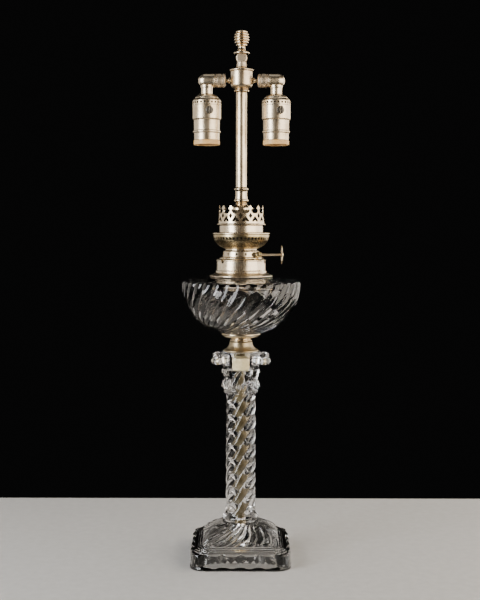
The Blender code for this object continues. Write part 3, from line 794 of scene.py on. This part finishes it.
def make_collar():
    profile = [
        (33, 371), (40.4, 371.2), (41.2, 371.8), (41, 372.6), (38.6, 373.6), (36.6, 374.2),
        (35.2, 375.2), (33.4, 376), (32.9, 376.8), (33.3, 377.6), (33.1, 378.6), (32.2, 379.2),
        (31.9, 379.8), (31.7, 380.4), (31.7, 391.4), (32.3, 391.9), (32.4, 392.8), (31.6, 393.4),
        (29.6, 393.9), (28.5, 394.6), (28.3, 395.1), (28, 395.1), (28.2, 393.4), (30.4, 391.8),
        (30.4, 376),
    ]
    collar = lathe("font_collar_look", profile, SHEET, 128, 0.3)
    slot = [(-2.2, 389.6), (-1.2, 388.6), (1.2, 388.6), (2.2, 389.6), (2.2, 397), (-2.2, 397)]
    slots = [(slot, about_z(-19 + 120 * i)) for i in range(3)]
    combine(collar, [prisms("slots", slots, 26, 34, PLATED)], "DIFFERENCE")
    stand_in(collar, "font_collar")


# ---- burner


def make_seat_ring():
    ring = lathe("burner_seat", [
        (24.2, 385.8), (27.7, 385.8), (27.7, 395.2), (27.2, 396), (24.6, 396.3), (22, 396.3),
        (22, 393), (24.2, 392)], PLATED, 96, 0.3)
    pins = [lathe(f"pin_{i}", [(0, 26.5), (1, 26.5), (1, 29.6), (0, 29.9)], PLATED, 16, 0.2,
                  turn=about_z(-39 + 120 * i) @ ALONG_X, place=(0, 0, 390.6)) for i in range(3)]
    combine(ring, pins, "UNION")
    stand_in(ring, "burner_base_ring")


def make_neck():
    """The burner's neck, vented except where the gland comes out, and the tube inside it."""
    neck = lathe("burner_throat", [
        (23.8, 396.6), (24.1, 397.4), (23.8, 398), (23.7, 402.8), (23.2, 404), (21, 405),
        (20.4, 405.8), (20.4, 406.8), (19.4, 406.8), (19.4, 404.4), (22.7, 402.8), (22.8, 396.6)],
        SHEET, 96, 0.3)
    vent = [(-1.1, 399), (-0.5, 398.6), (0.5, 398.6), (1.1, 399), (1.1, 401.8), (0.5, 402.2),
            (-0.5, 402.2), (-1.1, 401.8)]
    vents = [(vent, about_z(angle)) for angle in range(-105, 255, 30)
             if abs((angle - GLAND_AZIMUTH + 180) % 360 - 180) > 22]
    seat = lathe("gland_seat", bar(3.3, 8, 30), PLATED, 32, 0, turn=ALONG_X, place=SPINDLE_AT)
    combine(neck, [prisms("vents", vents, 21, 26, PLATED), seat], "DIFFERENCE")
    stand_in(neck, "burner_neck")
    lathe_part("gland", "spindle_gland", [
        (1.8, 13.5), (2.9, 13.5), (2.9, 19), (3.3, 19.3), (3.9, 20), (3.9, 23.4), (3.2, 24),
        (3.2, 25.4), (2.4, 26.2), (1.8, 26.2)], AGED, 40, 0.25, turn=ALONG_X, place=SPINDLE_AT)
    # The tube is near black: soot, and painted shade for the burner's dark inside
    lathe_part("burner_pipe", "burner_tube", bar(11.5, 397.5, 456.2, 10.6), SOOT_AND_SHADE, 64, 0.2)


def make_basket():
    """The air basket: a net of diamonds below and a band with a row of holes above it."""
    def bowl(z):
        """The basket's wall at a height: part of an ellipse whose middle is at the rim."""
        return 5.4 + 31 * sqrt(1 - ((424.5 - z) / 20) ** 2), z

    net = [bowl(407.4 + 0.5 * k) for k in range(3)]
    net += [bowl(408.6 + 9.2 * (k / 8) ** 1.12) for k in range(9)] + [bowl(418.2)]
    # The basket's inner faces are near black: soot, and painted shade for the inside seen through its
    # holes
    stand_in(lattice("basket_net", net, 3, 11, 48, 0.8, AGED, SOOT_AND_SHADE, 0.25), "air_basket")
    band = [bowl(418.2), bowl(418.7), bowl(422.7), bowl(423.2), bowl(424.4), (36.4, 425.6)]
    band = pierced("basket_band", band, {1: (0.56, 0.92)}, 46, AGED, SOOT_AND_SHADE, 0.3)
    settle(band, "burner_unit", "aged_brass")


def make_gallery():
    lathe_part("gallery_rim", "gallery_plate", [
        (28, 425.9), (35.8, 425.9), (36.9, 426), (37.4, 426.6), (37.4, 427.4), (36.8, 428),
        (35, 428.3), (32, 428.4), (28, 428.4)], PLATED, 128, 0.3)
    lathe_part("drum", "burner_drum", [
        (27.4, 428.7), (28.5, 428.7), (28.3, 429.4), (28.3, 437.2), (27.4, 437.2)], SHEET, 128, 0.2)


def round_normals(obj):
    """Gives a pierced round wall the normals of the unpierced turned wall."""
    normals = []
    mesh = obj.data
    for poly in mesh.polygons:
        for loop in poly.loop_indices:
            point = mesh.vertices[mesh.loops[loop].vertex_index].co
            out = Vector((point.x, point.y, 0)).normalized()
            facing = Vector((poly.center.x, poly.center.y, 0)).normalized().dot(poly.normal)
            if abs(facing) > 0.93:
                lean = Vector((0, 0, poly.normal.z))
                normals.append((out * copysign(1, facing) + lean).normalized())
            else:
                normals.append(poly.normal)
    mesh.normals_split_custom_set(normals)


CROWN_POINTS = 14


def crown_cuts():
    """One tool for all the openings: a gap and an arrow between points, a diamond under each."""
    half_gap = ((6.4, 464.5), (6.2, 462.8), (5, 461.4), (3.7, 460), (3.3, 459.1), (3.6, 458.4),
                (4.9, 457.9), (5.6, 456.9), (5.4, 455.6), (4.6, 454.2), (3.1, 453.1), (1.4, 452.6))
    gap = list(half_gap) + [(-y, z) for y, z in reversed(half_gap)]
    diamond = [(0, 445.8), (1.2, 447.5), (2.7, 449.8), (1.2, 452.1), (0, 453.8), (-1.2, 452.1),
               (-2.7, 449.8), (-1.2, 447.5)]
    half_arrow = [(0, 450), (1.2, 448.2), (2.9, 446.2), (4.6, 443.8), (4.5, 442.5), (3.2, 442.1),
                  (1.5, 442.7), (0, 444.2)]
    arrow = half_arrow + [(-y, z) for y, z in half_arrow[-2:0:-1]]
    step = 360 / CROWN_POINTS
    shapes = []
    for i in range(CROWN_POINTS):
        for outline, angle in ((gap, i + 0.5), (arrow, i + 0.5), (diamond, i)):
            shapes.append((outline, about_z(-92 + step * angle)))
    return prisms("crown_cuts", shapes, 25, 34, PLATED)


def make_crown():
    wall = [(28.8, 437.5), (30.4, 437.5), (31.7, 437.9), (32.1, 438.6), (31.7, 439.4), (30.3, 439.8),
            (30, 440.6), (29.8, 444), (29.5, 448), (29.2, 452), (29, 456), (28.9, 460),
            (28.8, 463)]
    wall += [(r - 0.7, z) for r, z in wall[:5:-1]]
    crown = lathe("crown", wall, PLATED, CROWN_POINTS * 10, 0.12)
    combine(crown, [crown_cuts()], "DIFFERENCE")
    round_normals(crown)
    # Faces that look inwards get near black brass: soot, and painted shade for the crown's inside seen
    # through its openings
    crown.data.materials.append(SOOT_AND_SHADE)
    for poly in crown.data.polygons:
        inward = poly.normal.dot(Vector((poly.center.x, poly.center.y, 0)).normalized())
        poly.material_index = 1 if inward < -0.6 else 0
    stand_in(crown, "crown_gallery")


def make_crown_floor():
    """The floor inside the crown and the reducer cap above it."""
    # The deck is near black brass: soot, and painted shade for the crown's dark inside
    lathe_part("crown_deck", "crown_floor", [
        (12, 438.8), (26.9, 438.8), (26.9, 440.4), (25, 441.2), (20, 441.9), (15, 443.6),
        (13.2, 446.4), (12, 446.4)], SOOT_AND_SHADE, 96, 0.4)
    lathe_part("reducer", "reducer_cap", [
        (5.3, 456.6), (12.4, 456.6), (12.8, 457.2), (12.8, 459.4), (12.2, 460.8), (10.4, 462.8),
        (8.4, 464.4), (7.4, 465.4), (7.3, 465.8), (5.3, 465.8)], PLATED, 64, 0.3)


# ---- stem and cluster


def make_stem():
    lathe_part("hidden_nipple", "stem_nipple", bar(5, 442, 500), AGED, 32)
    lathe_part("coupler", "stem_coupler", [
        (5.3, 466.1), (6.6, 466.1), (7.2, 466.6), (8.4, 467.6), (9.2, 468.8), (9.4, 469.8),
        (9.1, 470.8), (8.3, 471.6), (8.1, 473), (7.6, 475.6), (7.5, 478.6), (7.7, 481),
        (8.2, 482.4), (9, 483.2), (9.4, 484), (9.1, 485), (8, 485.8), (7.6, 486.4), (5.3, 486.4)],
        PLATED, 64, 0.25)
    lathe_part("stem", "stem_tube", bar(7, 486.7, 608, 6), SATIN, 64, 0.2)
    lathe_part("neck_ring", "cluster_neck_ring", [
        (5.2, 608.3), (8.2, 608.3), (9.4, 608.9), (9.9, 609.9), (9.6, 610.9), (8.6, 611.4),
        (8, 611.9), (8, 612.4), (5.2, 612.4)], PLATED, 64, 0.25)


def make_cluster():
    body = lathe("cluster_can", [
        (5.2, 612.7), (8.2, 612.7), (9.4, 613.2), (11.4, 614.2), (13.2, 615.8), (13.9, 617.4),
        (14, 618.6), (13.9, 634.4), (13.7, 635), (12.6, 635), (12.6, 618.2), (5.2, 615.6)],
        SATIN, 96, 0.35)
    port = lathe("port", bar(2.7, -20, 20), PLATED, 32, 0, turn=ALONG_X, place=(0, 0, ARM_Z))
    combine(body, [port], "DIFFERENCE")
    stand_in(body, "cluster_body")
    lathe_part("cluster_lid", "cluster_cap", [
        (4.3, 635.3), (14.7, 635.3), (15.3, 635.7), (15.5, 636.4), (15.2, 637.1), (14.2, 637.6),
        (12.6, 638), (9.6, 638.8), (7.6, 639.6), (7.2, 640.2), (4.3, 640.2)], SATIN, 96, 0.3)


def arm_line(side):
    """Where the pieces go that are turned about an arm: outwards from the stem."""
    return {"turn": ALONG_X if SIDES[side] > 0 else ALONG_MINUS_X, "place": (0, 0, ARM_Z)}


def make_arm(side):
    where = arm_line(side)
    lathe_part(f"nipple_{side}", f"arm_nipple_{side}", [
        (0, 10), (2.4, 10), (2.4, 14.4), (3.5, 14.6), (3.8, 15.2), (3.8, 16.2), (3.4, 16.8),
        (2.4, 17.6), (2.1, 18.6), (2.1, 24), (0, 24)], PLATED, 40, 0.2, **where)
    lathe_part(f"coupling_{side}", f"arm_coupling_{side}", [
        (2.4, 20.4), (4.6, 20.4), (6.4, 20.8), (8, 21.6), (8.8, 22.5), (8.8, 24), (7.8, 24.6),
        (7.8, 25.4), (8.7, 26), (8.8, 31), (8, 31.4), (8, 32), (8.8, 32.4), (8.8, 33),
        (8.2, 33.5), (3.9, 33.5), (3.9, 39), (2.4, 39)], CAST, 64, 0.25, **where)


def make_elbow(side):
    elbow = lathe(f"elbow_look_{side}", [
        (4.3, 34.3), (8.3, 34.3), (8.8, 34.8), (8.8, 35.8), (8.6, 36.4), (8.6, 46.6), (8.3, 48.8),
        (7.6, 50.9), (6.5, 52.8), (5.1, 54.2), (3.5, 55.1), (1.8, 55.6), (0, 55.8), (0, 47.5),
        (4.3, 47.5)], SATIN, 64, 0.3, **arm_line(side))
    spout = lathe(f"spout_{side}", [
        (3.6, 605.7), (6.9, 605.7), (7.3, 606.2), (7.3, 612.6), (7.6, 613.8), (8.2, 615.2), (8.2, 617.4),
        (3.6, 617.4)], SATIN, 64, 0.3, **socket_line(side))
    combine(elbow, [spout], "UNION")
    stand_in(elbow, f"elbow_{side}")


# ---- lamp sockets


def socket_line(side):
    """Where the pieces go that are turned about a socket's axis."""
    return {"place": (SIDES[side] * SOCKET_X, 0, 0)}


def key_line(side):
    """Where the pieces go that are turned about a switch key's axis."""
    place = (SIDES[side] * SOCKET_X, 0, KEY_Z)
    return {"turn": about_z(KEY_AZIMUTH[side]) @ ALONG_MINUS_Y, "place": place}


def key_hole(side, look):
    """The tool that clears the way for a switch key."""
    return lathe(f"hole_{side}", bar(3.2, 5, 24), look, 40, 0, **key_line(side))


def make_socket_cap(side):
    dome = lathe(f"socket_dome_{side}", [
        (3.6, 605.4), (7.6, 605.4), (9.4, 605.1), (11.6, 604.3), (13.6, 603), (15, 601.5),
        (15.3, 600.9), (15.3, 600.5), (16.4, 599.7), (17.5, 598.4), (18.2, 597.2), (17.4, 597.2),
        (16.4, 598.2), (14.6, 599.9), (12.6, 601.6), (8, 603.4), (3.6, 604)],
        SATIN, 96, 0.2, **socket_line(side))
    stand_in(dome, f"socket_cap_{side}")
    path = [(18.5, 591.9), (18.6, 592.3), (18.5, 593), (18.4, 596.2), (18.2, 597.2)]
    # The band's inner faces get near black brass, a painted shade that makes its holes look dark
    band = pierced(f"socket_band_{side}", path, {2: (0.54, 0.96)}, 24, SATIN, SOOT_AND_SHADE,
                   axis_x=SIDES[side] * SOCKET_X)
    settle(band, f"socket_{side}", "plated_brass")


def make_socket_shell(side):
    shell = lathe(f"socket_can_{side}", [
        (18.5, 591.6), (18.7, 591.2), (18.5, 590.4), (18.4, 589.8), (18.4, 574.6), (18.1, 573.7),
        (17.2, 573.1), (16.8, 572.4), (16.6, 560), (16.8, 559.3), (17.8, 558.7), (18, 557.8),
        (17.8, 556.8), (16.8, 556.3), (16.5, 555.6), (16.4, 548), (16.5, 547.2), (15.7, 547.2),
        (15.7, 573.6), (17.8, 574.6), (17.8, 591.6)], SATIN, 96, 0.3, **socket_line(side))
    combine(shell, [key_hole(side, PLATED)], "DIFFERENCE")
    stand_in(shell, f"socket_shell_{side}")


def make_socket_liner(side):
    """The board ring that shows at the socket's mouth and the fibre sleeve inside the shell."""
    lathe_part(f"liner_{side}", f"socket_liner_{side}", [
        (15.4, 546.9), (16.4, 546.9), (16.8, 546.4), (16.9, 542.6), (16.7, 541.4), (16.2, 541),
        (15.8, 541.4), (15.6, 542.6)], BOARD, 96, 0.3, **socket_line(side))
    sleeve = lathe(f"liner_sleeve_{side}", [
        (15.5, 578), (15.5, 542.4), (15, 541.6), (14.6, 542.4), (14.5, 578)],
        FIBRE, 96, 0.2, **socket_line(side))
    settle(sleeve, f"socket_{side}", "liner_board")


def make_bulb_screw(side):
    """The thin screw shell that takes the bulb, threaded above its plain mouth."""
    low, tall, steps = 550, 28.4, 64

    def thread(r, z, a):
        turn = z / 3.63 - a / tau
        return r - 0.45 * (1 + cos(tau * turn)) if z > 551 else r

    levels = [low + tall * k / steps for k in range(steps + 1)]
    wall = [(14.2, z) for z in levels] + [(13.5, z) for z in reversed(levels)]
    lathe_part(f"bulb_screw_{side}", f"screw_shell_{side}", wall, RAW, 64, 0,
               shape=thread, **socket_line(side))


def make_socket_core(side):
    """The porcelain that carries the contact and the switch."""
    core = lathe(f"core_{side}", [
        (0, 579), (15.2, 579), (15.6, 579.4), (15.6, 591), (11, 595), (0, 595.4)],
        PORCELAIN, 64, 0.3, **socket_line(side))
    combine(core, [key_hole(side, PORCELAIN)], "DIFFERENCE")
    stand_in(core, f"socket_core_{side}")
    lathe_part(f"contact_{side}", f"center_contact_{side}", [
        (0, 575.8), (1.6, 575.9), (3, 576.4), (3.6, 577.2), (3.6, 578.7), (0, 578.7)],
        RAW, 32, 0.2, **socket_line(side))


def paddle_rings(side):
    """The rings of a switch key's flat grip, from its root to its tip."""
    where = key_line(side)
    outline = []
    for k in range(28):
        c = cos(tau * k / 28)
        s = sin(tau * k / 28)
        outline.append((copysign(1.75 * abs(c) ** 0.6, c), copysign(4.9 * abs(s) ** 0.7, s)))
    rings = []
    for lift, scale in ((21.6, 0.72), (23, 0.86), (25, 0.98), (27, 1), (28.2, 0.97),
                        (28.9, 0.86), (29.2, 0.6)):
        rings.append([where["turn"] @ Vector((x * scale, y * scale, lift)) + Vector(where["place"])
                      for x, y in outline])
    return rings


def make_switch_key(side):
    key = lathe(f"key_{side}", [
        (0, 6), (2.7, 6), (2.7, 19.2), (4.2, 19.4), (4.9, 20), (5, 21.2), (4.6, 22.2),
        (3.4, 22.8), (2.2, 23), (0, 23)], BAKELITE, 48, 0.25, **key_line(side))
    combine(key, [skin(f"grip_{side}", paddle_rings(side), BAKELITE, capped=True)], "UNION")
    stand_in(key, f"switch_key_{side}")


# ---- knuckle, finial


def make_fork():
    fork = lathe("fork", [
        (0, 636), (3.9, 636), (3.9, 640.5), (6.2, 640.5), (6.6, 641), (6.6, 641.8), (6.3, 642.4),
        (6.2, 646.4), (0, 646.5)], CAST, 64, 0.25)
    disc = lathe("fork_disc", [
        (0, -5.6), (5.6, -5.6), (6.4, -5.4), (7, -4.8), (7.1, -4.2), (7.1, 4.2), (7, 4.8), (6.4, 5.4),
        (5.6, 5.6), (0, 5.6)], CAST, 64, 0.25, turn=ALONG_Y, place=PIVOT)
    combine(fork, [disc], "UNION")
    slot = prism("fork_slot", bar(1.8, 643.8, 665, -1.8), -12, 12, Matrix.Identity(3), PLATED)
    hole = lathe("fork_hole", bar(1.9, -4.4, 9), PLATED, 32, 0, turn=ALONG_Y, place=PIVOT)
    combine(fork, [slot, hole], "DIFFERENCE")
    stand_in(fork, "knuckle_base")


def make_tilt_screw():
    screw = lathe("tilt_screw", [
        (0, -4.2), (1.55, -4.2), (1.55, 5.9), (3.6, 5.9), (3.9, 6.3), (3.7, 7), (2.4, 7.6), (0, 7.8)],
        AGED, 40, 0.2, turn=ALONG_Y, place=PIVOT)
    nick = prism("nick", bar(0.45, 648, 656, -0.45), 7, 9, about_z(90), AGED)
    combine(screw, [nick], "DIFFERENCE")
    stand_in(screw, "knuckle_pin")


def make_rest():
    """The shade rest on its tongue, and the stud for the finial."""
    rest = lathe("flange", [
        (0, 659.6), (6.6, 659.6), (8.2, 658.8), (9.3, 657.6), (9.9, 657.3), (10.3, 657.7), (10.2, 658.7),
        (9.2, 659.8), (7.4, 660.9), (5.6, 661.7), (5.2, 662), (0, 662)], PLATED, 96, 0.25)
    lug = lathe("lug", bar(6.2, -1.45, 1.45), PLATED, 64, 0.3, turn=ALONG_Y, place=PIVOT)
    web = prism("web", bar(1.45, 653, 660.4, -1.45), -4.4, 4.4, Matrix.Identity(3), PLATED)
    combine(rest, [lug, web], "UNION")
    eye = lathe("eye", bar(1.95, -4, 4), PLATED, 32, 0, turn=ALONG_Y, place=PIVOT)
    combine(rest, [eye], "DIFFERENCE")
    stand_in(rest, "shade_rest")
    lathe_part("stud", "finial_stud", [(0, 662.3), (2.2, 662.3), (2.2, 676.6), (0, 677)], AGED, 32)


def make_finial():
    """A beehive of six ridges on an oval, with a blind bore for its stud."""
    outline = [(5.3, 662.4), (5, 663.2), (4.6, 664.2), (4.4, 665.6), (4.9, 666.4)]
    for k in range(6):
        z = 668.3 + 3.28 * k
        radius = 9.9 * sqrt(1 - ((z - 676.8) / 12.2) ** 2)
        for lift, inset in ((-1.5, 1.5), (-1, 0.4), (-0.4, 0), (0.5, 0.05), (1.1, 0.7), (1.55, 1.6)):
            outline.append((radius - inset, z + lift))
    outline += [(4.4, 686.4), (2.4, 686.9), (0, 687), (0, 677.4), (2.55, 677.4), (2.55, 662.4)]
    lathe_part("beehive_knob", "finial", outline, PLATED, 64, 0.2)


def make_wick_raiser():
    where = {"turn": ALONG_X, "place": SPINDLE_AT}
    lathe_part("spindle", "wick_spindle", bar(1.35, -8, 50.6), CAST, 32, 0.2, **where)

    def knurl(r, x, a):
        return r + (0.22 * cos(44 * a) if r > 10.6 else 0)

    lathe_part("thumbwheel", "wick_thumbwheel", [
        (0, 50.9), (2.6, 50.9), (3.2, 51.5), (9.6, 51.7), (10.6, 51.3), (11.3, 51.4), (11.5, 52.1),
        (11.3, 52.8), (10.6, 52.9), (9.6, 52.4), (3.2, 52.7), (2.4, 54), (0, 54.8)],
        PLATED, 176, 0.2, shape=knurl, **where)
    for k in (1, 2):
        keep_node(f"wick_sprocket_{k}", AGED)


# ---- stage

# The stage is measured in metres
LAMP_MIDDLE = Vector((0, 0, 0.38))
FLOOR_HALF_WIDTH = 0.42
FLOOR_FRONT, FLOOR_BACK = -0.25, 0.296
CAMERA_AT = (-0.0016, -1.35, 0.4313)
CAMERA_DOWN, CAMERA_ROLL = 3.856, -0.13  # degrees


def softbox(name, azimuth, height, distance, width, tall, power, colour, through_glass=True):
    """A soft panel that faces the lamp's middle, with its azimuth from the front to the right.

    A panel without through_glass is hidden from rays that have passed through glass.
    """
    light = bpy.data.lights.new(name, "AREA")
    light.shape = "RECTANGLE"
    light.size, light.size_y = width, tall
    light.energy = power
    light.color = colour
    obj = bpy.data.objects.new(name, light)
    a = radians(azimuth)
    obj.location = (distance * sin(a), -distance * cos(a), height)
    aim = LAMP_MIDDLE - obj.location
    obj.rotation_euler = aim.to_track_quat("-Z", "Y").to_euler()
    obj.visible_camera = False
    obj.visible_transmission = through_glass
    bpy.context.scene.collection.objects.link(obj)


def make_floor():
    """A plain slab whose top is at height zero, with its upper edge slightly broken."""
    look = solid("floor_look", (0.5, 0.49, 0.475), (0.56, 0.55, 0.535), 0.7, 90, 0.05)
    wide, front, back = (reach / MM for reach in (FLOOR_HALF_WIDTH, FLOOR_FRONT, FLOOR_BACK))
    corners = [(-wide, front), (wide, front), (wide, back), (-wide, back)]
    rings = [[(x * k, y * k, z) for x, y in corners] for k, z in ((1, -24), (1, -2), (0.997, 0))]
    skin("floor", rings, look, capped=True)


def make_lights():
    softbox("left_strip", -53.5, 0.6, 1.25, 0.6, 1.3, 25, (0.96, 0.98, 1))
    softbox("left_fill", -112, 0.62, 1.35, 2, 1.3, 6.5, (1, 0.95, 0.89), False)
    softbox("right_panel", 56, 0.62, 1.2, 1.25, 1.3, 22, (1, 0.91, 0.78))
    softbox("right_back", 118, 0.66, 1.3, 1.7, 1.3, 18, (1, 0.92, 0.82), False)
    softbox("front_fill", -8, 0.75, 2.1, 1.9, 1.2, 0.6, (1, 0.74, 0.5))
    softbox("overhead", 175, 1.75, 0.3, 0.9, 0.9, 1.2, (1, 0.98, 0.95))
    world = bpy.data.worlds.new("studio")
    world.use_nodes = True
    world.node_tree.nodes["Background"].inputs["Color"].default_value = (0.003, 0.003, 0.003, 1)
    bpy.context.scene.world = world


def make_camera():
    camera = bpy.data.cameras.new("camera")
    camera.lens = 62.17
    camera.sensor_width = 36
    view = bpy.data.objects.new("camera", camera)
    view.location = CAMERA_AT
    view.rotation_euler = (radians(90 - CAMERA_DOWN), radians(CAMERA_ROLL), 0)
    bpy.context.scene.collection.objects.link(view)
    bpy.context.scene.camera = view


make_floor()
make_lights()
make_camera()
make_foot()
make_column()
make_rod()
make_capital()
make_plug()
make_connector()
make_font()
make_collar()
make_seat_ring()
make_neck()
make_basket()
make_gallery()
make_crown()
make_crown_floor()
make_stem()
make_cluster()
for side_name in SIDES:
    make_arm(side_name)
    make_elbow(side_name)
    make_socket_cap(side_name)
    make_socket_shell(side_name)
    make_socket_liner(side_name)
    make_bulb_screw(side_name)
    make_socket_core(side_name)
    make_switch_key(side_name)
make_fork()
make_tilt_screw()
make_rest()
make_finial()
make_wick_raiser()
